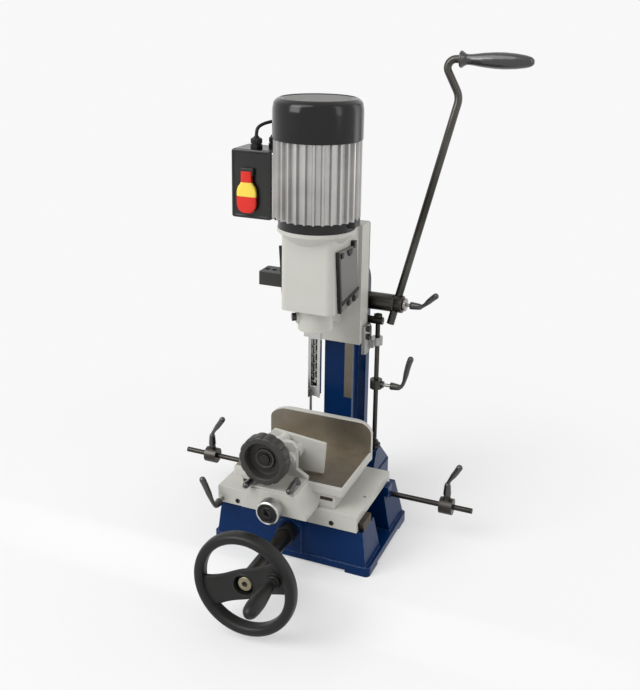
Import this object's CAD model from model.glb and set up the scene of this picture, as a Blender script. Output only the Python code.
# %% [markdown]
# # A benchtop mortiser
# The machine cuts square holes in wood. A motor turns an auger inside a square hollow
# chisel; a long lever racks the head down a column; two slides under the vise carry
# the work left and right, to and fro. The solid parts come in already placed, each on
# the body that it moves with. This notebook gives them their finishes and swaps the
# pieces that hands touch for smoother surfaces worked out with numpy.

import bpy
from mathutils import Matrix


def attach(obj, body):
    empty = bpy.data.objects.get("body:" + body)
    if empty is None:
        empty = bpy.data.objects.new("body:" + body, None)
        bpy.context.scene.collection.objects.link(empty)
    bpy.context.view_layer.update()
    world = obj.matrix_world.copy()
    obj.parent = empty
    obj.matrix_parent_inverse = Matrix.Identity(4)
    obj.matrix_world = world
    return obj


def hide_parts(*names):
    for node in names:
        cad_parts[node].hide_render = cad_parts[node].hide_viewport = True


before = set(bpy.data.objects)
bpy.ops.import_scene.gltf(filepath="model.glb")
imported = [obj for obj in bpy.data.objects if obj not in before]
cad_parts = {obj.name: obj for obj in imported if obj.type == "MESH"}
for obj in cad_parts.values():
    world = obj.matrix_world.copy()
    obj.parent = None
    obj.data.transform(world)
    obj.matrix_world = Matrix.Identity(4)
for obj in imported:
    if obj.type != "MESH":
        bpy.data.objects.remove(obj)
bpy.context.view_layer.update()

import math

import bmesh
import bpy
import numpy as np
from mathutils import Matrix, Vector

MM = 0.001
scene = bpy.context.scene


def add_object(name, data):
    """An object in the scene that holds a mesh, a curve, a lamp or a camera."""
    made = bpy.data.objects.new(name, data)
    scene.collection.objects.link(made)
    return made


# %% [markdown]
# ## Camera
# The camera stands above and to the right of the machine. Most of the downward look
# comes from tipping the camera; a little lens shift keeps the column nearly upright.

# %% Camera
CAMERA_AT = (542.6, -1299.7, 869.4)          # millimetres
CAMERA_TURN = 0.39155                        # radians to the left of straight back
CAMERA_DIP = 0.2641                          # radians below the horizon
CAMERA_ROLL = -0.01421
FOCAL = 939.2                                # in pixels of a frame 690 high
FRAME_LONG = 690
SENSOR = 36.0                                # millimetres
CAMERA_SHIFT = -0.14                         # of the frame's longer side
NEAR_CLIP, FAR_CLIP = 0.05, 60               # metres


def make_camera():
    """A camera that looks along azimuth CAMERA_TURN and down by CAMERA_DIP."""
    turn, dip = CAMERA_TURN, CAMERA_DIP
    ahead = Vector((-math.sin(turn) * math.cos(dip), math.cos(turn) * math.cos(dip), -math.sin(dip)))
    right = Vector((math.cos(turn), math.sin(turn), 0))
    down = ahead.cross(right)
    right, down = (right * math.cos(CAMERA_ROLL) + down * math.sin(CAMERA_ROLL),
                   down * math.cos(CAMERA_ROLL) - right * math.sin(CAMERA_ROLL))
    camera = add_object("camera", bpy.data.cameras.new("camera"))
    axes = Matrix((right, -down, -ahead)).transposed().to_4x4()
    camera.matrix_world = Matrix.Translation(Vector(CAMERA_AT) * MM) @ axes
    camera.data.sensor_width = SENSOR
    camera.data.lens = SENSOR * FOCAL / FRAME_LONG
    camera.data.shift_y = CAMERA_SHIFT
    camera.data.clip_start, camera.data.clip_end = NEAR_CLIP, FAR_CLIP
    scene.camera = camera
    return camera


camera = make_camera()
print("lens", round(camera.data.lens, 2), "mm")

# %% [markdown]
# ## A small kit for materials
# Every finish below is built from shader nodes. Writing `nodes.new` and `links.new` by
# hand for each is long, so one helper adds a node, and takes either a number or another
# node's output for each input.

# %% Node helper
def add_node(tree, kind, props=(), **inputs):
    """A new node. Inputs are named with _ for a space; a socket is linked, a value is set."""
    node = tree.nodes.new(kind)
    for key, value in dict(props).items():
        setattr(node, key, value)
    for key, value in inputs.items():
        name = key.replace("_", " ")
        socket = node.inputs[int(key[1:])] if key[0] == "n" and key[1:].isdigit() else node.inputs[name]
        if isinstance(value, bpy.types.NodeSocket):
            tree.links.new(value, socket)
        else:
            socket.default_value = value
    return node


def srgb(r, g, b):
    """A colour given as 0-255 screen values, in the linear values that shaders use."""
    c = np.array([r, g, b]) / 255
    linear = np.where(c <= 0.04045, c / 12.92, ((c + 0.055) / 1.055) ** 2.4)
    return (*linear.tolist(), 1.0)


def blank_material(name):
    """An empty material with its shader, and the place of each point on the object."""
    material = bpy.data.materials.new(name)
    material.use_nodes = True
    tree = material.node_tree
    shader = tree.nodes["Principled BSDF"]
    place = add_node(tree, "ShaderNodeTexCoord").outputs["Object"]
    return material, tree, shader, place


def all_over(name, recipe, *values, **named):
    """A material with one recipe all over it."""
    material, tree, shader, place = blank_material(name)
    recipe(tree, shader, place, *values, **named)
    return material


print("mid grey in linear values:", round(srgb(128, 128, 128)[0], 3))

# %% [markdown]
# A finish then needs patterns and a little arithmetic: noise for grain and stains, a
# span that carries one range to another, a blend of two colours. A mask of the edges
# comes from comparing the true surface direction with one rounded over a small radius.

# %% Patterns, blends and edges
def noise(tree, place, scale, detail=3.0, stretch=None, rough=0.55):
    """Fractal noise in object space, drawn out along an axis when stretch is given."""
    if stretch:
        place = add_node(tree, "ShaderNodeMapping", Vector=place, Scale=stretch).outputs["Vector"]
    return add_node(tree, "ShaderNodeTexNoise", Vector=place, Scale=scale, Detail=detail,
                    Roughness=rough).outputs["Fac"]


def span(tree, value, low, high, to_low=0.0, to_high=1.0):
    """A value carried from the range low..high to another range, and held at its ends."""
    return add_node(tree, "ShaderNodeMapRange", Value=value, From_Min=low, From_Max=high,
                    To_Min=to_low, To_Max=to_high).outputs["Result"]


def blend_colour(tree, factor, a, b):
    """A colour between a and b."""
    mix = add_node(tree, "ShaderNodeMix", {"data_type": "RGBA"}, n0=factor, n6=a, n7=b)
    return mix.outputs[2]


def arithmetic(tree, operation, a, b=0.0):
    """One sum on two numbers."""
    return add_node(tree, "ShaderNodeMath", {"operation": operation}, n0=a, n1=b).outputs[0]


FLAT, EDGE = 0.985, 0.80                     # cosine between the true and the rounded direction


def rounded_normal(tree, radius):
    """The surface direction as if each edge had this radius, and a mask that is 1 on edges."""
    soft = add_node(tree, "ShaderNodeBevel", {"samples": 6}, Radius=radius).outputs["Normal"]
    hard = add_node(tree, "ShaderNodeNewGeometry").outputs["Normal"]
    dot = add_node(tree, "ShaderNodeVectorMath", {"operation": "DOT_PRODUCT"}, n0=soft, n1=hard)
    return soft, span(tree, dot.outputs["Value"], FLAT, EDGE)


def connect(tree, shader, colour, roughness, relief, depth, strength, soft):
    """Wires a colour and a roughness into the shader, and a relief of some depth in metres."""
    tree.links.new(colour, shader.inputs["Base Color"])
    tree.links.new(roughness, shader.inputs["Roughness"])
    bump = add_node(tree, "ShaderNodeBump", Strength=strength, Distance=depth, Height=relief, Normal=soft)
    tree.links.new(bump.outputs["Normal"], shader.inputs["Normal"])


def mix_into(tree, factor, below, above, output):
    """Blends two shaders by a factor from 0 to 1, and wires the blend into an output node."""
    blend = add_node(tree, "ShaderNodeMixShader", n0=factor, n1=below.outputs[0], n2=above.outputs[0])
    tree.links.new(blend.outputs[0], output.inputs["Surface"])


print("material helpers ready")

# %% [markdown]
# ## Paint
# Paint on an iron casting isn't flat: the sand mould leaves a fine orange peel, dust
# dulls it in patches, and it is thin on sharp edges, where it looks lighter. One recipe
# makes all of the painted finishes, from their colour, gloss and edge.

# %% Paint recipe
PAINT_EDGE, PEEL_DEPTH = 0.0012, 0.00012     # metres
PATCHES, CHIPS, PEEL_FINE = 18, 260, 420     # how fine: the scale of each noise


def paint(tree, shader, place, colour, worn, roughness, edge, coat=0.0, gloss=0.5):
    """Painted casting: patches change its roughness, and edges show the worn colour."""
    soft, edges = rounded_normal(tree, PAINT_EDGE)
    patches = noise(tree, place, PATCHES, 4)
    chips = noise(tree, place, CHIPS, 3)
    wear = arithmetic(tree, "MULTIPLY", edges, span(tree, chips, 0.35, 0.62, 0.25, 1.0))
    wear = arithmetic(tree, "MULTIPLY", wear, edge)
    shade = blend_colour(tree, span(tree, patches, 0.3, 0.7, 0.0, 0.35), colour,
                         tuple(c * 0.86 for c in colour[:3]) + (1.0,))
    connect(tree, shader, blend_colour(tree, wear, shade, worn),
            span(tree, patches, 0.3, 0.7, roughness - 0.05, roughness + 0.09),
            noise(tree, place, PEEL_FINE, 2), PEEL_DEPTH, 0.6, soft)
    shader.inputs["Coat Weight"].default_value = coat
    shader.inputs["Specular IOR Level"].default_value = gloss


WHITE_PAINT = dict(colour=srgb(194, 193, 186), worn=srgb(232, 231, 225), roughness=0.42, edge=0.6,
                   coat=0.1)
BLUE_PAINT = dict(colour=srgb(1, 40, 87), worn=srgb(128, 150, 190), roughness=0.2, edge=0.9, gloss=0.12)
head_paint = all_over("head_paint", paint, **WHITE_PAINT)
print("paints ready")

# %% [markdown]
# ## Bare and coated metal
# Machined faces carry the lines of the cutter: noise drawn out along one axis gives
# them. Turned rods have the lines round them, so their noise is drawn out the other way.

# %% Metal recipe
METAL_EDGE, LINE_DEPTH = 0.0006, 0.00003     # metres
STAINS = 12                                  # how fine the stains are
ALONG_X, ALONG_Z, UP_THE_FINS = (1, 14, 14), (14, 14, 1), (1, 1, 0.01)
NO_LINES = (6, 6, 6)


def metal(tree, shader, place, colour, dark, roughness, stretch, scale, metallic=1.0):
    """Metal with cutter lines: fine drawn-out noise for the lines, broad noise for the stains."""
    soft, edges = rounded_normal(tree, METAL_EDGE)
    grooves = noise(tree, place, scale, 3, stretch)
    stains = noise(tree, place, STAINS, 5)
    shade = blend_colour(tree, span(tree, stains, 0.35, 0.7), colour, dark)
    fine = blend_colour(tree, span(tree, grooves, 0.3, 0.7, 0.0, 0.35), shade, dark)
    bright = tuple(min(1.0, c * 1.35) for c in colour[:3]) + (1.0,)
    connect(tree, shader, blend_colour(tree, arithmetic(tree, "MULTIPLY", edges, 0.6), fine, bright),
            span(tree, grooves, 0.3, 0.7, roughness - 0.06, roughness + 0.1),
            grooves, LINE_DEPTH, 0.5, soft)
    shader.inputs["Metallic"].default_value = metallic


MILLED_IRON = (srgb(146, 139, 127), srgb(107, 101, 91), 0.4, ALONG_X, 260)
OILED_IRON = (srgb(98, 88, 74), srgb(62, 54, 45), 0.45, ALONG_X, 260)
milled_iron = all_over("milled_iron", metal, *MILLED_IRON)
way_iron = all_over("way_iron", metal, *OILED_IRON)
bright_steel = all_over("bright_steel", metal, srgb(190, 188, 184), srgb(140, 137, 132), 0.26, ALONG_Z, 240)
dark_steel = all_over("dark_steel", metal, srgb(84, 82, 78), srgb(52, 50, 48), 0.34, ALONG_X, 240)
tan_zinc = all_over("tan_zinc", metal, srgb(176, 170, 146), srgb(128, 122, 100), 0.36, NO_LINES, 200)
zinc = all_over("zinc", metal, srgb(186, 186, 184), srgb(140, 140, 138), 0.3, NO_LINES, 200)
black_steel = all_over("black_steel", metal, srgb(92, 90, 86), srgb(58, 56, 53), 0.3, (8, 8, 8), 240)
rod_steel = all_over("rod_steel", metal, srgb(66, 64, 61), srgb(44, 42, 40), 0.34, ALONG_X, 240)
satin_steel = all_over("satin_steel", metal, srgb(216, 216, 213), srgb(180, 180, 177), 0.27, NO_LINES, 200)
chrome = all_over("chrome", metal, srgb(214, 214, 212), srgb(170, 170, 168), 0.14, NO_LINES, 200)
motor_silver = all_over("motor_silver", metal, srgb(196, 195, 193), srgb(164, 163, 161), 0.3, UP_THE_FINS, 300,
                        metallic=0.75)
print("metals ready")

# %% [markdown]
# ## Plastics and black coatings
# Levers, knobs and the switch are moulded in black plastic with a fine sparkle of
# texture; the fan cover is pressed steel with gloss black enamel.

# %% Plastic recipe
PLASTIC_EDGE = 0.0008                        # metres
SMEARS, COAT_ROUGHNESS = 26, 0.12


def plastic(tree, shader, place, colour, roughness, grain=0.00005, size=900, coat=0.0, light=1.8,
            gloss=0.3):
    """Moulded plastic: fine grain, smears that change its gloss, and lighter edges."""
    soft, edges = rounded_normal(tree, PLASTIC_EDGE)
    smears = noise(tree, place, SMEARS, 5)
    pale = tuple(min(1.0, c * light + 0.006) for c in colour[:3]) + (1.0,)
    factor = arithmetic(tree, "ADD", arithmetic(tree, "MULTIPLY", edges, 0.5),
                        span(tree, smears, 0.35, 0.75, 0.0, 0.25))
    connect(tree, shader, blend_colour(tree, factor, colour, pale),
            span(tree, smears, 0.3, 0.7, roughness - 0.05, roughness + 0.1),
            noise(tree, place, size, 2), grain, 0.5, soft)
    shader.inputs["Specular IOR Level"].default_value = gloss
    shader.inputs["Coat Weight"].default_value = coat
    shader.inputs["Coat Roughness"].default_value = COAT_ROUGHNESS


black_plastic = all_over("black_plastic", plastic, srgb(24, 23, 22), 0.4)
handle_plastic = all_over("handle_plastic", plastic, srgb(24, 24, 23), 0.4, gloss=0.25)
lever_enamel = all_over("lever_enamel", plastic, srgb(30, 30, 29), 0.2, coat=0.5, gloss=0.6)
lobe_plastic = all_over("lobe_plastic", plastic, srgb(50, 49, 47), 0.36)
gloss_enamel = all_over("gloss_enamel", plastic, srgb(6, 6, 5), 0.14, grain=0.00001, coat=0.15, gloss=0.3)
box_plastic = all_over("box_plastic", plastic, srgb(26, 25, 24), 0.24, gloss=0.4, coat=0.1)
flange_black = all_over("flange_black", plastic, srgb(20, 20, 19), 0.28, grain=0.00004, size=500, coat=0.1)
cover_grey = all_over("cover_grey", plastic, srgb(108, 106, 103), 0.4, grain=0.00008, size=600)
block_grey = all_over("block_grey", plastic, srgb(46, 46, 44), 0.42, grain=0.00008, size=600)
switch_red = all_over("switch_red", plastic, srgb(214, 44, 34), 0.35, light=1.25)
switch_yellow = all_over("switch_yellow", plastic, srgb(242, 214, 84), 0.38, light=1.1)
cable_black = all_over("cable_black", plastic, srgb(28, 28, 27), 0.5)
grille_grey = all_over("grille_grey", plastic, srgb(130, 129, 127), 0.4)
print("plastics ready")

# %% [markdown]
# ## Two finishes on one casting
# A casting is painted all over, then the faces that slide or carry the work are milled
# bare. Where a point lies decides which finish it has, so the border follows the metal.

# %% Milled faces on painted castings
def milled_where(name, painted, milled, tests):
    """Paint that turns to bare metal where every test on the place holds.

    Each test is (axis, sign, limit): the coordinate, or minus it, has to exceed the limit.
    """
    material, tree, below, place = blank_material(name)
    paint(tree, below, place, **painted)
    above = add_node(tree, "ShaderNodeBsdfPrincipled")
    metal(tree, above, place, *milled)
    parts = add_node(tree, "ShaderNodeSeparateXYZ", Vector=place)
    mask = 1.0
    for axis, sign, limit in tests:
        value = arithmetic(tree, "MULTIPLY", parts.outputs[axis], sign)
        mask = arithmetic(tree, "MULTIPLY", arithmetic(tree, "GREATER_THAN", value, limit * MM), mask)
    mix_into(tree, mask, below, above, tree.nodes["Material Output"])
    return material


column_finish = milled_where("column_finish", BLUE_PAINT, MILLED_IRON,
                             [("X", 1, 11.0), ("Y", -1, -106.0), ("Z", 1, 198.0)])
base_finish = milled_where("base_finish", BLUE_PAINT, OILED_IRON, [("Z", 1, 72.3), ("Y", -1, 50.0)])
table_finish = milled_where("table_finish", WHITE_PAINT, MILLED_IRON,
                            [("Z", 1, 138.8), ("Y", 1, -88.0), ("X", -1, -84.0)])
fence_finish = milled_where("fence_finish", WHITE_PAINT, MILLED_IRON, [("Y", -1, -38.4), ("Z", -1, -189.0)])
saddle_finish = milled_where("saddle_finish", WHITE_PAINT, MILLED_IRON, [("Z", 1, 119.8)])
print("milled faces ready")

# %% [markdown]
# ## Dress the solid parts
# Parts whose own shape is right keep it, and only get a finish.

# %% Finishes of the solid parts
FINISHES = {
    base_finish: ["base_casting"],
    column_finish: ["column"],
    head_paint: ["head_casting", "vise_bracket", "vise_jaw"],
    table_finish: ["table_casting"],
    fence_finish: ["fence"],
    saddle_finish: ["saddle"],
    milled_iron: ["saddle_gib", "saddle_rack", "head_rack", "slide_keepers", "lever_shaft"],
    bright_steel: ["auger_bit", "strut_rod", "rotor_shaft", "chuck", "leadscrew"],
    rod_steel: ["stop_rod", "vise_screw"],
    dark_steel: ["column_bolts", "gib_screws", "head_screws", "stop_collar_right", "drive_shaft",
                 "stop_collar_left", "lever_hub", "lever_rod", "depth_rod", "depth_fittings",
                 "depth_collar", "strut_tube", "chisel_lock_screw", "stator_and_bearings", "cooling_fan"],
    zinc: ["stop_arm"],
    flange_black: ["motor_flange", "drive_bush"],
    motor_silver: ["motor_frame"],
    gloss_enamel: ["fan_cover"],
    cover_grey: ["side_covers"],
    block_grey: ["storage_block"],
    black_plastic: ["switch_box", "cable_glands", "vise_hand_wheel", "saddle_lock_lever",
                    "stop_lever_right", "stop_lever_left", "vise_clamp_right", "vise_clamp_left",
                    "hub_lever", "depth_lever"],
    handle_plastic: ["hand_wheel", "crank_grip", "lever_grip"],
    switch_red: ["switch_paddle"],
    chrome: ["leadscrew_knob", "hollow_chisel"],
    cable_black: ["switch_cable"],
}


def wear_finish(piece, material):
    """Puts one material on the whole of a piece."""
    piece.data.materials.clear()
    piece.data.materials.append(material)
    piece.data.polygons.foreach_set("material_index", np.zeros(len(piece.data.polygons), np.int32))


for material, names in FINISHES.items():
    for name in names:
        wear_finish(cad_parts[name], material)
print(sum(len(names) for names in FINISHES.values()), "parts dressed")

# %% [markdown]
# ## Surfaces from arrays
# Three recipes make nearly every new piece: a **turned** surface is a profile carried
# round an axis; a **swept** surface is a round section carried along a line; a **plate**
# is an outline with a thickness. Each is a grid of points, worked out as whole arrays.

# %% Grid to mesh
def grid_faces(rows, columns, closed_rows=False, closed_columns=True):
    """The four corners of each cell of a grid whose points are stored row by row."""
    i = np.arange(rows if closed_rows else rows - 1)[:, None]
    j = np.arange(columns if closed_columns else columns - 1)[None, :]
    a = i * columns + j
    b = i * columns + (j + 1) % columns
    c = ((i + 1) % rows) * columns + (j + 1) % columns
    d = ((i + 1) % rows) * columns + j
    return np.stack([a, b, c, d], -1).reshape(-1, 4)


def make_piece(name, shells, material, sharp):
    """One object from several closed shells of (points in millimetres, faces)."""
    points, faces, start = [], [], 0
    for shell_points, shell_faces in shells:
        points.append(shell_points.reshape(-1, 3) * MM)
        faces.append(np.asarray(shell_faces) + start)
        start += len(points[-1])
    mesh = bpy.data.meshes.new(name)
    mesh.from_pydata(np.concatenate(points).tolist(), [], np.concatenate(faces).tolist())
    tidy = bmesh.new()
    tidy.from_mesh(mesh)
    bmesh.ops.remove_doubles(tidy, verts=tidy.verts, dist=1e-6)
    bmesh.ops.dissolve_degenerate(tidy, dist=1e-7, edges=tidy.edges)
    bmesh.ops.recalc_face_normals(tidy, faces=tidy.faces)
    tidy.to_mesh(mesh)
    tidy.free()
    mesh.shade_smooth()
    mesh.set_sharp_from_angle(angle=math.radians(sharp))
    mesh.materials.append(material)
    return add_object(name, mesh)


print("2 rings of 6 points are joined by", len(grid_faces(2, 6)), "faces")

# %% [markdown]
# Profiles are lists of (radius, distance along the axis). Real castings and mouldings
# have no sharp corners, so a helper rounds those of a profile first.

# %% Turned surfaces
AXIS_FRAMES = {"x": ((0, 1, 0), (0, 0, 1), (1, 0, 0)), "y": ((0, 0, 1), (1, 0, 0), (0, 1, 0)),
               "z": ((1, 0, 0), (0, 1, 0), (0, 0, 1))}


def turned(profile, axis, centre, around=64, radial=None):
    """Point(t, s) = centre + radius(s) (cos t, sin t) + along(s), for a profile (radius, along).

    radial(t, s) may add to the radius, for lobes or knurls.
    """
    profile = np.asarray(profile, float)
    side, up, along = (np.array(v, float) for v in AXIS_FRAMES[axis])
    t = np.linspace(0, 2 * np.pi, around, endpoint=False)
    r = np.repeat(profile[:, :1], around, 1)
    if radial is not None:
        r = r + radial(t[None, :], np.arange(len(profile))[:, None], profile)
    points = (r[..., None] * (np.cos(t)[None, :, None] * side + np.sin(t)[None, :, None] * up)
              + profile[:, 1][:, None, None] * along + np.array(centre, float))
    return points, grid_faces(len(profile), around)


def soften(points, reach, steps=4):
    """A broken line with its corners rounded: each corner becomes a curve that starts and
    ends reach before and after it, (1-t)^2 A + 2 t (1-t) P + t^2 B."""
    points = np.asarray(points, float)
    before, corner, after = points[:-2], points[1:-1], points[2:]
    def short(a, b):
        gap = b - a
        length = np.linalg.norm(gap, axis=1, keepdims=True)
        return a + gap / length * np.minimum(reach, 0.45 * length)
    a, b = short(corner, before), short(corner, after)
    t = np.linspace(0, 1, steps + 1)[None, :, None]
    curve = (1 - t) ** 2 * a[:, None] + 2 * t * (1 - t) * corner[:, None] + t ** 2 * b[:, None]
    return np.concatenate([points[:1], curve.reshape(-1, points.shape[1]), points[-1:]])


print("one softened corner has", len(soften([(0, 0), (1, 0), (1, 1)], 0.3)) - 2, "points")

# %% [markdown]
# A swept surface needs a direction at each point of its line, and two more that are
# square to it. Its ends close with rows of points that meet in one.

# %% Swept surfaces
CAP_STEP, CAP_R = 0.01, 0.001                # a swept bar closes this far past its last ring


def unit(v):
    """The direction of a vector, or of each row of an array of vectors."""
    v = np.array(v, float)
    return v / np.linalg.norm(v, axis=-1, keepdims=True)


def swept(path, radii, around, up):
    """Point(t, s) = path(s) + radius(s) (cos t side + sin t over), side and over square to the path."""
    path, radii = np.asarray(path, float), np.asarray(radii, float)
    ahead = unit(np.gradient(path, axis=0))
    side = unit(np.cross(ahead, up))
    over = np.cross(side, ahead)
    t = np.linspace(0, 2 * np.pi, around, endpoint=False)[None, :, None]
    ring = np.cos(t) * side[:, None] + np.sin(t) * over[:, None]
    return path[:, None] + radii[:, None, None] * ring, grid_faces(len(path), around)


def capped(rows):
    """Closed rows of points, with a cap at each end: a row drawn together at its middle."""
    caps = [np.repeat(rows[i].mean(0)[None, None], rows.shape[1], 1) for i in (0, -1)]
    points = np.concatenate([caps[0], rows, caps[1]])
    return points, grid_faces(len(points), points.shape[1])


def bezier(a, b, c, d, steps):
    """A smooth line from a to d that b and c pull: the sum of the four cubic weights."""
    t = np.linspace(0, 1, steps)[:, None]
    a, b, c, d = (np.array(p, float) for p in (a, b, c, d))
    return (1 - t) ** 3 * a + 3 * t * (1 - t) ** 2 * b + 3 * t * t * (1 - t) * c + t ** 3 * d


print("halfway along a bent line:", bezier((0, 0), (0, 1), (1, 1), (1, 0), 3)[1])

# %% [markdown]
# Each new piece rides on a body of the machine, so that it moves with it, and stands in
# for the solids that it is named with.

# %% Pieces onto bodies
def dress(piece, body, *nodes):
    """Puts a piece on its body, in place of the solids that it stands for."""
    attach(piece, body)
    if nodes:
        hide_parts(*nodes)
    print(piece.name, "rides on", body, "with", len(piece.data.polygons), "faces")


def fit(name, shells, material, body, *nodes, sharp=40.0):
    """Makes a piece from its shells and dresses a body with it."""
    dress(make_piece(name, shells, material, sharp), body, *nodes)


# %% [markdown]
# ## The X feed's hand wheel
# A cast wheel has a deep rounded rim and one broad web across it, wider where it meets
# the rim. The rim is a squared-off ring, the web a flat lens-shaped section carried
# from rim to rim, and the hub and crank boss are turned.

# %% Rim and web
WHEEL_AT = (0.0, -250.0, 50.0)
WHEEL_TILT = math.radians(24)
RIM_MIDDLE, RIM_HALF, RIM_DEPTH = 73.0, 8.0, 11.0
CRANK_OUT = 53.5
CUP_R, CUP_EDGE, CUP_FLOOR, WEB_BACK = 16.8, -4.0, 6.4, 7.0
WEB_END, WEB_HALF, HUB_SWELL, RIM_SWELL = RIM_MIDDLE - 5, 20.5, 2.5, 7.0


def signed_power(value, power):
    """value to a power, keeping its sign: it squares off a circle."""
    return np.sign(value) * np.abs(value) ** power


def wheel_place(u, y, v):
    """A point at u along the web, v across it and y along the axle."""
    c, s = math.cos(WHEEL_TILT), math.sin(WHEEL_TILT)
    u, y, v = np.broadcast_arrays(u, y, v)
    return np.stack([WHEEL_AT[0] + u * c - v * s, WHEEL_AT[1] + y, WHEEL_AT[2] + u * s + v * c], -1)


def wheel_rim(around=128, section=28):
    """Squared-off ring: radius = middle + half cos^k, depth = half sin^k, k below 1."""
    t = np.linspace(0, 2 * np.pi, around, endpoint=False)[:, None]
    s = np.linspace(0, 2 * np.pi, section, endpoint=False)[None, :]
    r = RIM_MIDDLE + RIM_HALF * signed_power(np.cos(s), 0.75)
    y = RIM_DEPTH * signed_power(np.sin(s), 0.7) + 0 * t
    return wheel_place(r * np.cos(t), y, r * np.sin(t)), grid_faces(around, section, True)


def wheel_web(steps=120, section=64):
    """Section v = w(u) cos, y = t(u) sin^k, with w growing towards the rim.

    Near the axle the front is pushed back to the floor of the hub's cup.
    """
    u = np.linspace(-WEB_END, WEB_END, steps)[:, None]
    s = np.linspace(0, 2 * np.pi, section, endpoint=False)[None, :]
    wide = WEB_HALF + HUB_SWELL * np.exp(-(u / 24) ** 2) + RIM_SWELL * (np.abs(u) / WEB_END) ** 4
    thick = 4.7 + 2.2 * np.exp(-((u - CRANK_OUT) / 13) ** 2)
    v = wide * signed_power(np.cos(s), 0.8)
    y = thick * signed_power(np.sin(s), 0.45) - 0.4
    from_axle = np.hypot(u, v)
    cup_edge = np.where(from_axle < CUP_R + 0.7, np.maximum(y, CUP_EDGE), y)
    y = np.where((from_axle < CUP_R) & (y < 0), CUP_FLOOR, cup_edge)
    y = np.where((from_axle < CUP_R + 0.2) & (y > 0), np.maximum(y, WEB_BACK), y)
    return wheel_place(u + 0 * s, y, v), grid_faces(steps, section)


print("the wheel is", 2 * (RIM_MIDDLE + RIM_HALF), "mm across")

# %% Hub, boss and hand wheel
def wheel_turned(profile, u, around=48):
    """A turned boss on the wheel, about a line parallel to the axle."""
    return turned(profile, "y", wheel_place(u, 0.0, 0.0), around)


hub = soften([(0, 6.0), (15.0, 6.0), (15.3, -4.6), (16.0, -6.0), (18.0, -6.0), (18.9, -4.0), (18.6, 8),
              (16, 13), (0, 13)], 0.8)
crank_boss = soften([(0, -12.2), (9.6, -12.2), (11.6, -6), (12.5, 2), (0, 2)], 1.5)
crank_pin = [(0, -70), (3.9, -70), (3.9, 0), (0, 0)]
washer = soften([(6.3, 5.6), (6.3, -0.9), (4.4, -0.9), (4.4, -1.6), (10.2, -1.6), (11.4, -0.6),
                 (11.4, 5.6), (6.3, 5.6)], 0.4, 3)
wheel_shells = [wheel_rim(), wheel_web(), wheel_turned(hub, 0.0, 72), wheel_turned(crank_boss, CRANK_OUT),
                wheel_turned(crank_pin, CRANK_OUT, 20)]
fit("hand_wheel_cast", wheel_shells, handle_plastic, "x_drive", "hand_wheel")
fit("wheel_washer", [wheel_turned(washer, 0.0)], tan_zinc, "x_drive")

# %% [markdown]
# The crank's grip spins on its pin. Its radius follows a smooth curve: a collar, a
# waist, a belly and a round end.

# %% Crank grip
def grip_profile(stations, steps=60):
    """Radius along a grip: the stations joined, then averaged with weights 1 3 4 3 1 over 12.

    Each station is (distance, radius), and both ends close to a point on the axis.
    """
    stations = np.asarray(stations, float)
    s = np.linspace(0, 1, steps)
    first, last = stations[0, 0], stations[-1, 0]
    r = np.interp(s, (stations[:, 0] - first) / (last - first), stations[:, 1])
    kernel = np.array([1, 3, 4, 3, 1]) / 12
    smooth = np.convolve(np.pad(r, 2, mode="edge"), kernel, "valid")
    body = np.stack([smooth, first + s * (last - first)], 1)
    return np.concatenate([[[0, first]], body, [[0, last]]])


crank_stations = [(-12.4, 8.4), (-15.5, 8.4), (-16.5, 7.0), (-19, 6.9), (-36, 9.4), (-56, 11.7),
                  (-72, 11.6), (-82, 10.4), (-87.5, 7.8), (-90.2, 3.6)]
crank_shell = wheel_turned(grip_profile(crank_stations), CRANK_OUT)
fit("crank_handle", [crank_shell], handle_plastic, "crank", "crank_grip")

# %% [markdown]
# ## Clamp levers
# Seven levers of one family lock the slides, the stops and the vise. Each has a steel
# stud, a tapered plastic hub and an arm that leaves the hub, leans out and swells
# towards its rounded end.

# %% Lever shapes
def along_line(a, b, profile, around=28):
    """A turned surface about the line from a to b; the profile is (radius, distance from a)."""
    profile = np.asarray(profile, float)
    ahead = unit(np.subtract(b, a))
    side = unit(np.cross(ahead, (0.31, 0.52, 0.83)))
    over = np.cross(ahead, side)
    t = np.linspace(0, 2 * np.pi, around, endpoint=False)[None, :, None]
    ring = np.cos(t) * side + np.sin(t) * over
    points = np.array(a, float) + profile[:, 0][:, None, None] * ring + profile[:, 1][:, None, None] * ahead
    return points, grid_faces(len(profile), around)


def lever_arm(root, axis, tip, steps=26):
    """A curved taper that starts out along the hub's axis and ends in a dome at the tip.

    Its radius is 4.4 mm at the root, thins by up to 1.3 mm and grows again towards the tip.
    """
    root, tip, axis = np.array(root, float), np.array(tip, float), unit(axis)
    reach = np.linalg.norm(tip - root)
    line = bezier(root, root + axis * reach * 0.22, tip - (tip - root) * 0.45, tip, steps)
    s = np.linspace(0, 1, steps)
    r = 4.4 - 1.3 * np.sin(np.pi * np.clip(s * 1.6, 0, 1)) + 0.9 * s ** 2
    far = unit(line[-1] - line[-2])
    cap = np.linspace(0, np.pi / 2, 6)[1:]
    line = np.concatenate([line, tip + far * (r[-1] * np.sin(cap))[:, None]])
    r = np.concatenate([[CAP_R], r, r[-1] * np.maximum(np.cos(cap), 0.001)])
    line = np.concatenate([line[:1] - axis * CAP_STEP, line])
    hint = (0.2, 1.0, 0.1) if abs(far[1]) < 0.8 else (0.1, 0.2, 1.0)
    return swept(line, r, 20, hint)


print("a lever's arm has", len(lever_arm((0, 0, 0), (0, 0, 1), (20, 0, 40))[1]), "faces")

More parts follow.
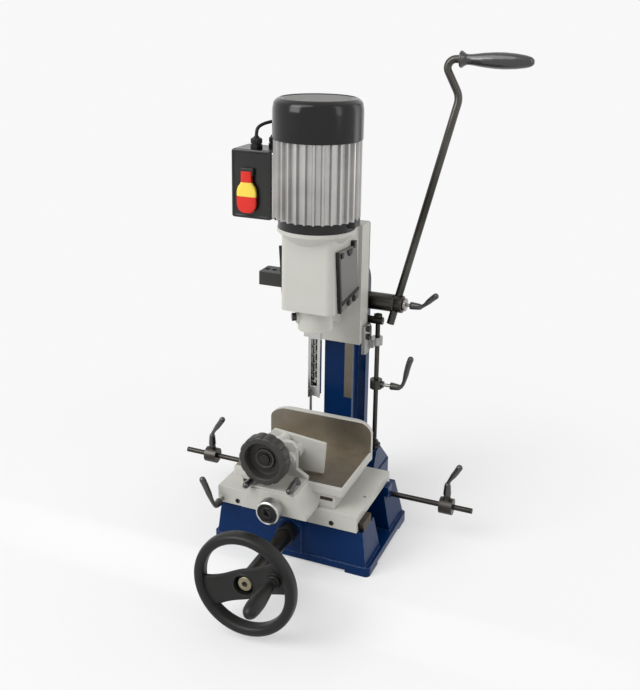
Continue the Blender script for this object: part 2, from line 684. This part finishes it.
# %% Clamp levers
LEVERS = {                                   # body, then foot, hub start, hub end and tip in millimetres
    "saddle_lock_lever": ("saddle_lock", (-117, -96, 80), (-117, -110, 80), (-117, -121, 80),
                          (-143, -118, 117)),
    "stop_lever_right": ("right_stop_lever", (213, 60, 64.7), (213, 60, 79.8), (213, 60, 96.5),
                         (231, 60, 132.5)),
    "stop_lever_left": ("left_stop_lever", (-224, 60, 64.7), (-224, 60, 79.8), (-224, 60, 96.5),
                        (-203, 60, 132.5)),
    "vise_clamp_right": ("right_clamp", (19, -112, 130), (19, -112, 144.3), (19, -112, 148.5),
                         (22, -146, 149)),
    "vise_clamp_left": ("left_clamp", (-41, -121, 130), (-41, -121, 144.3), (-41, -121, 148.5),
                        (-46, -156, 149)),
    "hub_lever": ("feed_clamp", (96.5, 141, 368), (113, 141, 368), (129, 141, 368), (156, 141, 390)),
    "depth_lever": ("depth_stop_lever", (66.3, 126, 224), (88, 126, 224), (102, 126, 224),
                    (122, 126, 278)),
}
LEVER_HUB_R, LEVER_DOME, STUD_R = 6.5, 5.4, 2.9

for node, (body, foot, start, end, tip) in LEVERS.items():
    length = float(np.linalg.norm(np.subtract(end, start)))
    stud_length = float(np.linalg.norm(np.subtract(start, foot))) + 1
    top = length + LEVER_DOME
    hub_profile = soften([(0, 0), (LEVER_HUB_R, 0), (LEVER_HUB_R, length * 0.25),
                          (LEVER_HUB_R - 1.1, length), (LEVER_HUB_R - 2.2, length + LEVER_DOME * 0.7),
                          (1.6, top), (0, top)], 1.2)
    stud_profile = [(0, 0), (STUD_R, 0), (STUD_R, stud_length), (0, stud_length)]
    arm = lever_arm(end, np.subtract(end, start), tip)
    fit(node + "_moulding", [along_line(start, end, hub_profile), arm], lever_enamel, body, node)
    fit(node + "_stud", [along_line(foot, start, stud_profile, 18)], bright_steel, body)

# %% [markdown]
# ## The vise's hand wheel
# A moulded wheel with finger lobes: its rim's radius rises and falls with the angle,
# while its face stays a plain turned profile with a deep ring-shaped recess.

# %% Vise hand wheel
VISE_AT = (-21.5, 0.0, 190.5)
VISE_LOBES, LOBE_DEPTH = 14, 2.0


def vise_lobes(t, row, profile):
    """Cuts grooves in the outer part of the profile: |sin(n t / 2)| to a low power is broad lobes."""
    lobe = np.abs(np.sin(VISE_LOBES * t / 2)) ** 0.45
    outer = np.clip((profile[:, 0][row] - 33) / 5, 0, 1)
    return (lobe - 1) * LOBE_DEPTH * outer


vise_profile = soften([(0, -140), (8, -140), (8, -138.6), (11.4, -138.6), (11.8, -140.6), (15, -141.2),
                       (16, -140.4), (16.4, -137), (26, -136.6), (28, -148), (29.6, -151), (37, -151),
                       (39.5, -148.4), (39.5, -131.6), (37.5, -129), (18, -129), (16, -125),
                       (0, -125)], 0.9, 3)
fit("vise_wheel_moulding", [turned(vise_profile, "y", VISE_AT, 252, vise_lobes)], lobe_plastic,
    "vise_wheel", "vise_hand_wheel")
rings = soften([(0, -141.6), (3.2, -141.8), (4.6, -141.4), (7.4, -141.4), (7.9, -140.9), (7.9, -139.6),
                (0, -139.6)], 0.4, 2)
washer = soften([(8.6, -139.4), (8.6, -140.2), (11.0, -140.2), (11.0, -139.4), (8.6, -139.4)], 0.2, 2)
fit("vise_wheel_cap", [turned(rings, "y", VISE_AT, 48), turned(washer, "y", VISE_AT, 64)], gloss_enamel,
    "vise_wheel")

# %% [markdown]
# ## The leadscrew's knob
# A satin steel knob with a diamond knurl: two sets of crossed ridges, worked out as the
# smaller of two waves that run round the knob in opposite twists. Its face is a black
# disc with a hexagon socket.

# %% Leadscrew knob
KNOB_AT = (-4.5, 0.0, 117.0)
KNOB_R = 18.8
KNURL_ENDS, KNURL_ROWS = (-166.4, -153.6), 26
KNURL_RIDGES, KNURL_TWIST, KNURL_HEIGHT, KNURL_SINK = 46, 2.1, 0.5, 0.35


def knurl(t, row, profile):
    """Radius added: two crossed triangle waves, the smaller of which makes diamonds."""
    y = profile[:, 1][row]
    grip = (profile[:, 0][row] > KNOB_R - 0.4) & (y > KNURL_ENDS[0] - 0.1) & (y < KNURL_ENDS[1] + 0.1)
    a = np.abs(((t * KNURL_RIDGES + y * KNURL_TWIST) / np.pi) % 2 - 1)
    b = np.abs(((t * KNURL_RIDGES - y * KNURL_TWIST) / np.pi) % 2 - 1)
    return np.where(grip, KNURL_HEIGHT * np.minimum(a, b) - KNURL_SINK, 0.0)


knob_profile = np.concatenate([
    [(0, -161.5), (4.8, -161.5), (15.4, -164.5), (15.6, -168.6), (16.2, -169.3), (KNOB_R - 0.8, -168.6),
     (KNOB_R, -167.4)],
    np.stack([np.full(KNURL_ROWS, KNOB_R), np.linspace(*KNURL_ENDS, KNURL_ROWS)], 1),
    [(KNOB_R, -152.6), (KNOB_R - 1.2, -151.4), (14.5, -148.4), (0, -148.4)]])
fit("knob_knurled", [turned(knob_profile, "y", KNOB_AT, 8 * KNURL_RIDGES, knurl)], satin_steel,
    "y_screw", "leadscrew_knob")


def hexagon(t, r):
    """What turns a circle of radius r into a hexagon: r (cos 30 / cos(angle from a side's middle) - 1)."""
    return r * (math.cos(np.pi / 6) / np.cos((t % (np.pi / 3)) - np.pi / 6) - 1)


def socket_face(t, row, profile):
    """Turns the inner rings into a hexagon and leaves the outer ones round."""
    r = profile[:, 0][row]
    return np.where(r < 5, hexagon(t, r), 0.0)


face_profile = [(4.6, -162.5), (4.6, -168.4), (5.6, -169), (8.9, -169), (9.4, -168.4), (13.2, -168.4),
                (13.8, -169), (14.9, -169), (15.1, -168.4), (15.1, -165.4), (4.6, -162.5)]
fit("knob_face", [turned(face_profile, "y", KNOB_AT, 96, socket_face)], flange_black, "y_screw", sharp=25)

# %% [markdown]
# ## The motor's fan cover
# Pressed steel, enamelled black. The wall is turned, with a rolled shoulder; the disc on
# top is punched with rows of small holes that draw the air in. The disc is a height
# field: each hole is a pit in it, so the sheet stays one closed surface.

# %% Fan cover
COWL_R, COWL_LOW, COWL_TOP = 69.0, 660.0, 722.0
GRILLE_R, HOLE_PITCH, HOLE_R, PIT_DEPTH = 55.0, 4.4, 1.45, 2.0
ROW_PITCH = HOLE_PITCH * 0.866               # rows of a hexagonal pattern
cowl_profile = soften([(66.6, COWL_LOW), (COWL_R - 0.6, COWL_LOW), (COWL_R, COWL_LOW + 1),
                       (COWL_R, COWL_TOP - 17), (COWL_R - 2, COWL_TOP - 6),
                       (COWL_R - 8, COWL_TOP - 1.2), (58.2, COWL_TOP - 0.2),
                       (57.2, COWL_TOP - 0.6), (56.2, COWL_TOP - 2.0), (54.6, COWL_TOP - 2.0),
                       (54.6, COWL_TOP - 4), (60, COWL_TOP - 4), (64, COWL_TOP - 9), (66.6, COWL_TOP - 18),
                       (66.6, COWL_LOW)], 3.0, 5)
fit("fan_cowl", [turned(cowl_profile, "z", (0, 0, 0), 128)], gloss_enamel, "head", "fan_cover")


def grille_disc(cells=200):
    """Height = -depth * step(distance to the nearest hole of a hexagonal pattern)."""
    side = np.linspace(-GRILLE_R - 0.4, GRILLE_R + 0.4, cells)
    x, y = np.meshgrid(side, side, indexing="ij")
    row = np.round(y / ROW_PITCH)
    shift = (row % 2) * HOLE_PITCH / 2
    hole_x = np.round((x - shift) / HOLE_PITCH) * HOLE_PITCH + shift
    hole_y = row * ROW_PITCH
    gap = np.hypot(x - hole_x, y - hole_y)
    pit = np.clip((HOLE_R + 0.3 - gap) / 0.6, 0, 1) * (np.hypot(hole_x, hole_y) < GRILLE_R - 3)
    points = np.stack([x, y, COWL_TOP - 1.7 - PIT_DEPTH * pit], -1)
    faces = grid_faces(cells, cells, False, False)
    centre = points.reshape(-1, 3)[faces].mean(1)
    return points, faces[np.hypot(centre[:, 0], centre[:, 1]) < GRILLE_R]


fit("fan_grille", [grille_disc()], grille_grey, "head", sharp=60)

# %% [markdown]
# ## The feed lever
# One bar of blackened steel is bent twice: out of the hub it leans back and outward, then
# folds over to carry a moulded grip. The bar is a round section swept along straight
# runs joined by arcs; the grip, the hub and the ring at the hub's end are turned.

# %% Feed lever
LEVER_LINE = ((81, 134.5, 333), (163, 204, 712), (131, 206, 772), (262, 206, 772))
LEVER_BENDS = (32.0, 14.0)
LEVER_R = 6.5


def bent_bar(points, bends, steps=14):
    """Straight runs with an arc of the given radius at each corner: the arc's centre lies on
    the line that halves the corner, and its points turn from one run's direction to the next."""
    points = [np.array(p, float) for p in points]
    line = [points[0][None]]
    for before, corner, after, bend in zip(points, points[1:], points[2:], bends):
        come, go = unit(corner - before), unit(after - corner)
        angle = math.acos(float(come @ go))
        enter = corner - come * bend * math.tan(angle / 2)
        inward = unit(go - (go @ come) * come)
        t = np.linspace(0, angle, steps)[:, None]
        line.append(enter + bend * (np.sin(t) * come + (1 - np.cos(t)) * inward))
    line.append(points[-1][None])
    return np.concatenate(line)


bar_line = bent_bar(LEVER_LINE, LEVER_BENDS)
low_end = bar_line[:1] - unit(bar_line[1] - bar_line[0]) * CAP_STEP
high_end = bar_line[-1:] + unit(bar_line[-1] - bar_line[-2]) * CAP_STEP
bar_radii = np.concatenate([[CAP_R], np.full(len(bar_line), LEVER_R), [CAP_R]])
bar = swept(np.concatenate([low_end, bar_line, high_end]), bar_radii, 32, (0.1, 1, 0.05))
fit("lever_bar", [bar], black_steel, "feed_lever", "lever_rod")

# %% Lever grip and hub
GRIP_AT = (0.0, 206.0, 772.0)
HUB_AT = (0.0, 141.0, 368.0)
lever_grip = soften([(0, 160), (12.6, 160), (14, 161.5), (14, 163.5), (12, 166), (8.6, 171), (9, 180),
                     (11.6, 198), (13.2, 216), (13.5, 232), (12.4, 250), (10, 266), (7.6, 274.5),
                     (3.5, 279), (0, 279)], 3.0, 4)
lever_hub = soften([(0, 32.4), (14.4, 32.4), (15, 33.2), (15, 84), (13.6, 85), (13.6, 88), (15, 89),
                    (15, 99.5), (13.8, 101), (0, 101)], 0.8, 3)
hub_ring = soften([(0, 101.2), (10.5, 101.2), (11.2, 102), (11.2, 105.5), (10, 106.5), (0, 106.5)], 0.6, 3)
fit("lever_handle", [turned(lever_grip, "x", GRIP_AT, 56)], lever_enamel, "feed_lever", "lever_grip")
fit("lever_hub_turned", [turned(lever_hub, "x", HUB_AT, 64)], black_steel, "feed_lever", "lever_hub")
fit("lever_hub_ring", [turned(hub_ring, "x", HUB_AT, 48)], bright_steel, "feed_lever")

# %% [markdown]
# ## Switch
# The switch box is a plain moulding with a rolled edge round its front. Boxes with
# rounded edges come up often, so one function makes a box from its two corners and
# lets a bevel round it.

# %% Rounded boxes
def rounded_box(name, low, high, radius, material, segments=4):
    """Eight corners, six faces and a bevel that rounds every edge."""
    low, high = np.array(low, float), np.array(high, float)
    corner = np.array([[i, j, k] for i in (0, 1) for j in (0, 1) for k in (0, 1)])
    faces = [(0, 1, 3, 2), (4, 6, 7, 5), (0, 4, 5, 1), (2, 3, 7, 6), (0, 2, 6, 4), (1, 5, 7, 3)]
    piece = make_piece(name, [(low + corner * (high - low), faces)], material, 80)
    bevel = piece.modifiers.new("rounded edges", "BEVEL")
    bevel.width, bevel.segments = radius * MM, segments
    bevel.harden_normals = False
    return piece


SWITCH_X, SWITCH_Z, SWITCH_FRONT, SWITCH_BACK = (-142, -73.4), (527, 636), -10, 48
switch_body = rounded_box("switch_body", (SWITCH_X[0], SWITCH_FRONT + 3, SWITCH_Z[0]),
                          (SWITCH_X[1], SWITCH_BACK, SWITCH_Z[1]), 3.0, box_plastic)
dress(switch_body, "head", "switch_box")

# %% [markdown]
# The frame on the box's front has a raised border round a sunk middle. A small hood
# shades the paddle's hinge.

# %% Switch front and hood
def frame_plate(outer, inner, y_front, y_back, depth, around=64):
    """A plate with a sunk middle: nested outlines with round corners, joined in turn from back to floor."""
    def ring(x0, x1, z0, z1, y, r):
        t = np.linspace(0, 2 * np.pi, around, endpoint=False) + np.pi / around
        cx, cz = (x0 + x1) / 2, (z0 + z1) / 2
        hx, hz = (x1 - x0) / 2 - r, (z1 - z0) / 2 - r
        x = cx + np.sign(np.cos(t)) * hx + r * np.cos(t)
        z = cz + np.sign(np.sin(t)) * hz + r * np.sin(t)
        return np.stack([x, np.full_like(x, y), z], -1)
    (x0, x1, z0, z1), (u0, u1, w0, w1) = outer, inner
    rings = [ring(x0, x1, z0, z1, y_back, 4), ring(x0, x1, z0, z1, y_front + 1.2, 4),
             ring(x0 + 0.4, x1 - 0.4, z0 + 0.4, z1 - 0.4, y_front + 0.35, 3.8),
             ring(x0 + 1.2, x1 - 1.2, z0 + 1.2, z1 - 1.2, y_front, 3.4),
             ring(u0 - 1, u1 + 1, w0 - 1, w1 + 1, y_front, 3), ring(u0, u1, w0, w1, y_front + depth, 2.6)]
    floor = [((u0 + u1) / 2, y_front + depth, (w0 + w1) / 2)]
    back = [((x0 + x1) / 2, y_back, (z0 + z1) / 2)]
    points = np.stack([np.repeat(back, around, 0), *rings, np.repeat(floor, around, 0)])
    return points, grid_faces(len(points), around)


fit("switch_front", [frame_plate(SWITCH_X + SWITCH_Z, (-137.5, -78.5, 532, 631), SWITCH_FRONT, -6.8, 1.1)],
    box_plastic, "head")
dress(rounded_box("switch_hood", (-124, -15.2, 595.5), (-102, -9, 607.5), 1.4, block_grey), "head")

# %% [markdown]
# The paddle is one moulding in two colours: a red tab at its hinge, yellow shoulders
# and a red lower half that is easy to slap off. An outline gives its width at each
# height, and the section across is a shallow crown.

# %% Switch paddle
PADDLE_X, PADDLE_FRONT, PADDLE_BACK, PADDLE_DROP = -113.0, -18.5, -12.5, 1.6
paddle_outline = np.array([                  # height, half width, from the tab down to the tip
    (602.6, 8.3), (601, 9), (590, 9), (585.5, 9.2), (583, 10.6), (578, 14.2), (572, 16.2), (567, 16.5),
    (563.1, 16.5), (562.9, 16.5), (556, 16.5), (550, 16.2), (545, 15.1), (541.5, 13.2), (539, 10.8),
    (537.4, 7.6), (537, 6.2)])


def paddle_shell(outline, across=25):
    """Front y = front + drop (x / w)^4: a crown that falls away at both sides; the back is flat."""
    z, w = outline.T
    s = np.linspace(-1, 1, across)[None, :]
    x = PADDLE_X + w[:, None] * s
    zs = z[:, None] + 0 * x
    front = np.stack([x, PADDLE_FRONT + PADDLE_DROP * s ** 4 + 0 * x, zs], -1)
    back = np.stack([x[:, ::-1], np.full_like(x, PADDLE_BACK), zs], -1)
    return capped(np.concatenate([front, back], 1))


for name, first, last, material, nodes in (("paddle_tab", 0, 4, switch_red, ["switch_paddle"]),
                                           ("paddle_shoulder", 3, 9, switch_yellow, []),
                                           ("paddle_lower", 9, 17, switch_red, [])):
    fit(name, [paddle_shell(paddle_outline[first:last])], material, "paddle", *nodes, sharp=50)

# %% [markdown]
# ## Fittings on the head and the table
# Each side cover has a dark pressed edge along its front, two catches at the top and a
# latch bar with two nuts at its foot. Strips of oiled iron show in the table's two slots.

# %% Cover fittings and slot strips
def slab(outline, low, high):
    """A prism along x: an outline of (y, z) points at two x values, and a cap at each end."""
    outline = np.array(outline, float)
    return capped(np.stack([np.insert(outline, 0, x, axis=1) for x in (low, high)]))


COVER_OUT = 49.0
COVER_SLABS = [                              # heights above the cover's face, then an outline of (y, z)
    (-5.2, 0.9, [(-31.2, 494.6), (-24.5, 493.6), (-12.2, 396.0), (-17.6, 393.2)]),       # edge
    (-0.2, 2.4, [(-22, 490.5), (-12, 490), (-13.5, 482), (-20, 482.5)]),                 # front catch
    (-0.2, 2.4, [(4, 489.5), (26, 488), (22, 480), (12, 479.5)]),                        # rear catch
    (-5.2, 1.6, [(34, 498), (44, 497), (42, 486), (33, 487)]),                           # hinge lug
    (-0.2, 1.6, [(-13, 410), (60, 416), (60.6, 411), (-13, 404.6)]),                     # latch bar
]
NUT_Y, NUT_Z = (14, 38), 403
nut = soften([(0, COVER_OUT - 0.3), (5.2, COVER_OUT - 0.3), (5.2, COVER_OUT + 2.6), (4.2, COVER_OUT + 3.4),
              (0, COVER_OUT + 3.4)], 0.5, 2)
fittings = []
for side in (-1, 1):
    fittings += [slab(outline, side * (COVER_OUT + low), side * (COVER_OUT + high))
                 for low, high, outline in COVER_SLABS]
    fittings += [turned(nut * (1, side), "x", (0, y, NUT_Z), 24) for y in NUT_Y]
fit("cover_fittings", fittings, black_plastic, "head", sharp=35)

for name, x0, x1 in (("slot_strip_left", -82.8, -60.2), ("slot_strip_right", 49.7, 70.8)):
    dress(rounded_box(name, (x0, -91.6, 114.0), (x1, -88.6, 120.3), 0.4, way_iron, 2), "table")

# %% [markdown]
# ## Cable glands
# A gland is a hexagonal base, a ribbed sleeve and a rubber cone that keeps the cable
# from kinking. The hexagon and the ribs are both waves added to a turned radius.

# %% Glands
GLANDS = ((-108, 10, 636, 10, 19), (-90, 34, 636, 8, 19), (-6, 77, 632, 9, 18))    # x, y, z, radius, length


def gland(x, y, z, r, length):
    """A turned sleeve: six flats at its foot, then fine ribs 0.45 cos 18 t, then the cone."""
    def waves(t, row, profile):
        """What the flats and the ribs add to the radius."""
        radius, up = profile[:, 0][row], profile[:, 1][row] / length
        ribs = np.where((up > 0.4) & (up < 0.78), 0.45 * np.cos(18 * t), 0.0)
        return np.where(radius > r * 0.7, np.where(up < 0.32, hexagon(t, radius) + 0.6, ribs), 0.0)
    profile = np.array([(0, 0), (r, 0), (r, 0.3), (r - 2.2, 0.34), (r - 2.2, 0.39), (r - 1.3, 0.42),
                        (r - 1.3, 0.76), (r - 2.6, 0.84), (4.6, 0.9), (4.1, 1), (0, 1)]) * (1, length)
    return turned(profile, "z", (x, y, z), 108, waves)


fit("glands_moulded", [gland(*each) for each in GLANDS], black_plastic, "head", "cable_glands", sharp=35)

# %% [markdown]
# ## Auger
# Inside the hollow chisel an auger lifts the chips. Its flute is a ribbon wound about the
# core: point = core + radius (cos, sin) at an angle that grows with height.

# %% Auger bit
def flute(low, high, pitch, r_in, r_out, thick, per_turn=28):
    """Point(a) = (r cos a, r sin a, low + pitch a / 2 pi + dz) for the corners (r, dz) of a section."""
    turns = (high - low) / pitch
    a = np.linspace(0, 2 * np.pi * turns, int(turns * per_turn))[:, None]
    section = np.array([(r_in, -thick), (r_out, -thick * 0.4), (r_out, thick * 0.4), (r_in, thick)])
    r, dz = section.T[:, None]
    return capped(np.stack([r * np.cos(a), r * np.sin(a), low + a / (2 * np.pi) * pitch + dz], -1))


auger_core = [(0, 240.2), (1.2, 241), (3.0, 245), (3.0, 380), (6.5, 383), (6.5, 430), (0, 430)]
fit("auger_fluted", [flute(low=243.4, high=378, pitch=15.0, r_in=2.4, r_out=6.5, thick=1.9),
                     turned(auger_core, "z", (0, 0, 0), 32)], bright_steel, "spindle", "auger_bit")

# %% [markdown]
# ## The switch's cable
# A thin rubber cable leaves the gland on the switch, bends back behind the fan cover
# and goes into the terminal box on the motor's back. Its line is one smooth spline that
# ten points steer.

# %% Cable
CABLE_ROUTE = [(-108, 10, 655), (-108, 10, 664), (-105, 15, 671), (-95, 28, 676), (-76, 48, 678),
               (-54, 67, 678), (-32, 78, 675), (-14, 79, 669), (-6, 77, 660), (-6, 77, 650)]
CABLE_R = 2.7


def make_cable():
    """A round tube along a smooth line that the route's points steer."""
    curve = bpy.data.curves.new("cable", "CURVE")
    curve.dimensions = "3D"
    spline = curve.splines.new("NURBS")
    spline.points.add(len(CABLE_ROUTE) - 1)
    for point, (x, y, z) in zip(spline.points, CABLE_ROUTE):
        point.co = (x * MM, y * MM, z * MM, 1)
    spline.order_u = 3
    spline.use_endpoint_u = True
    spline.resolution_u = 8
    curve.bevel_depth = CABLE_R * MM
    curve.bevel_resolution = 5
    curve.use_fill_caps = True
    curve.materials.append(cable_black)
    return add_object("cable", curve)


cable = make_cable()
print("cable", 2 * CABLE_R, "mm thick through", len(CABLE_ROUTE), "points")
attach(cable, "head")
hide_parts("switch_cable")

# %% [markdown]
# ## Bench and light
# The hand wheel hangs past the front of the bench, so the pale ground has a low, soft
# step: the base stands on the upper part and the wheel turns over the lower part.

# %% Bench
STEP_Y = (-0.205, -0.125)                    # metres, as are all sizes of the bench and the lamps
STEP_DROP, BENCH_GAP = -0.040, 0.0002
BENCH_HALF, BENCH_FRONT, BENCH_BACK = 30.0, -30.0, 60.0


def make_bench():
    """A wide sheet with a step of height drop (1 - t^2 (3 - 2 t)), t from 0 to 1 across the step."""
    x = np.array([-BENCH_HALF, BENCH_HALF])
    y = np.concatenate([[BENCH_FRONT, -1.0], np.linspace(*STEP_Y, 17), [1.0, BENCH_BACK]])
    t = np.clip((y - STEP_Y[0]) / (STEP_Y[1] - STEP_Y[0]), 0, 1)
    z = STEP_DROP * (1 - t * t * (3 - 2 * t)) - BENCH_GAP
    points = np.stack([np.repeat(x, len(y)), np.tile(y, 2), np.tile(z, 2)], 1)
    mesh = bpy.data.meshes.new("bench")
    mesh.from_pydata(points.tolist(), [], grid_faces(2, len(y), False, False)[:, ::-1].tolist())
    mesh.shade_smooth()
    return add_object("bench", mesh)


bench = make_bench()
print("bench", 2 * BENCH_HALF, "m wide with a step of", STEP_DROP, "m")

# %% [markdown]
# The ground is matt and nearly white. Close to the machine it takes the machine's shadow;
# further off it fades into an even pale light of its own, so that no edge shows.

# %% Bench finish
PALE = 0.94                                  # the strength of the even background
NEAR, FAR = 0.25, 0.85                       # metres from the machine
NEAR_SHARE = 0.45                            # of the ground's own light, from the machine out to NEAR


def looked_at(tree):
    """1 on rays from the camera, off a shiny surface or through glass; 0 on rays that carry light."""
    rays = add_node(tree, "ShaderNodeLightPath").outputs
    mirrored = arithmetic(tree, "MAXIMUM", rays["Is Glossy Ray"], rays["Is Transmission Ray"])
    return arithmetic(tree, "MAXIMUM", rays["Is Camera Ray"], mirrored)


bench_finish, tree, shader, place = blank_material("bench_finish")
tree.links.new(blend_colour(tree, noise(tree, place, 3), srgb(241, 241, 241), srgb(238, 238, 238)),
               shader.inputs["Base Color"])
shader.inputs["Roughness"].default_value = 0.9
shader.inputs["Specular IOR Level"].default_value = 0.1
own_light = add_node(tree, "ShaderNodeEmission", Color=(1, 1, 1, 1), Strength=PALE)
away = add_node(tree, "ShaderNodeVectorMath", {"operation": "LENGTH"}, n0=place).outputs["Value"]
plain = span(tree, away, NEAR, FAR, NEAR_SHARE, 1.0)
mix_into(tree, arithmetic(tree, "MULTIPLY", looked_at(tree), plain), shader, own_light,
         tree.nodes["Material Output"])
bench.data.materials.append(bench_finish)
print("ground fades from", NEAR, "to", FAR, "m")

# %% [markdown]
# ## Light
# A wide soft sun and a large lamp at the left front model the shapes; two weaker lamps
# at the right light that side and its edges. The studio round them adds a little light
# from behind and above, while the camera and shiny metal see it as one even pale grey.

# %% Lamps
SUBJECT = Vector((0, 0, 0.35))               # the middle of the machine
SOFTBOXES = (                                # name, place, width and height, watts
    ("softbox_left", (-1.5, -1.9, 1.7), (1.3, 1.7), 31),
    ("softbox_right", (1.9, -0.5, 1.3), (0.5, 1.8), 6),
    ("softbox_rim", (1.6, 1.5, 0.8), (0.7, 1.5), 4),
)


def make_lamp(name, kind, aim, **settings):
    """A lamp of some kind that shines along a direction."""
    lamp = bpy.data.lights.new(name, kind)
    for key, value in settings.items():
        setattr(lamp, key, value)
    holder = add_object(name, lamp)
    holder.rotation_euler = Vector(aim).to_track_quat("-Z", "Y").to_euler()
    return holder


make_lamp("sun_left", "SUN", (0.5, 0.8, -1.0), energy=1.4, angle=math.radians(50))
for name, at, (wide, high), power in SOFTBOXES:
    softbox = make_lamp(name, "AREA", SUBJECT - Vector(at), shape="RECTANGLE", size=wide, size_y=high,
                        energy=power)
    softbox.location = at
    softbox.visible_camera = False

# %% Studio
DIM, BRIGHT = (0.30, 0.08), (0.80, 0.95)     # place on the ramp and grey level
BRIGHT_SIDE, STUDIO_STRENGTH = (0.25, 0.75, 0.45), 0.75
world = bpy.data.worlds.new("studio")
scene.world = world
world.use_nodes = True
sky = world.node_tree
backdrop = sky.nodes["Background"]
way = add_node(sky, "ShaderNodeTexCoord").outputs["Generated"]
toward = add_node(sky, "ShaderNodeVectorMath", {"operation": "DOT_PRODUCT"}, n0=way, n1=BRIGHT_SIDE)
glow = add_node(sky, "ShaderNodeValToRGB", Fac=span(sky, toward.outputs["Value"], -1, 1))
ramp = glow.color_ramp
for stop, (at, grey) in zip(ramp.elements, (DIM, BRIGHT)):
    stop.position, stop.color = at, (grey, grey, grey, 1)
sky.links.new(glow.outputs["Color"], backdrop.inputs["Color"])
backdrop.inputs["Strength"].default_value = STUDIO_STRENGTH
seen = add_node(sky, "ShaderNodeBackground", Color=(PALE, PALE, PALE, 1), Strength=1.0)
mix_into(sky, looked_at(sky), backdrop, seen, sky.nodes["World Output"])
scene.view_settings.view_transform = "Standard"
print("studio ready, view transform", scene.view_settings.view_transform)
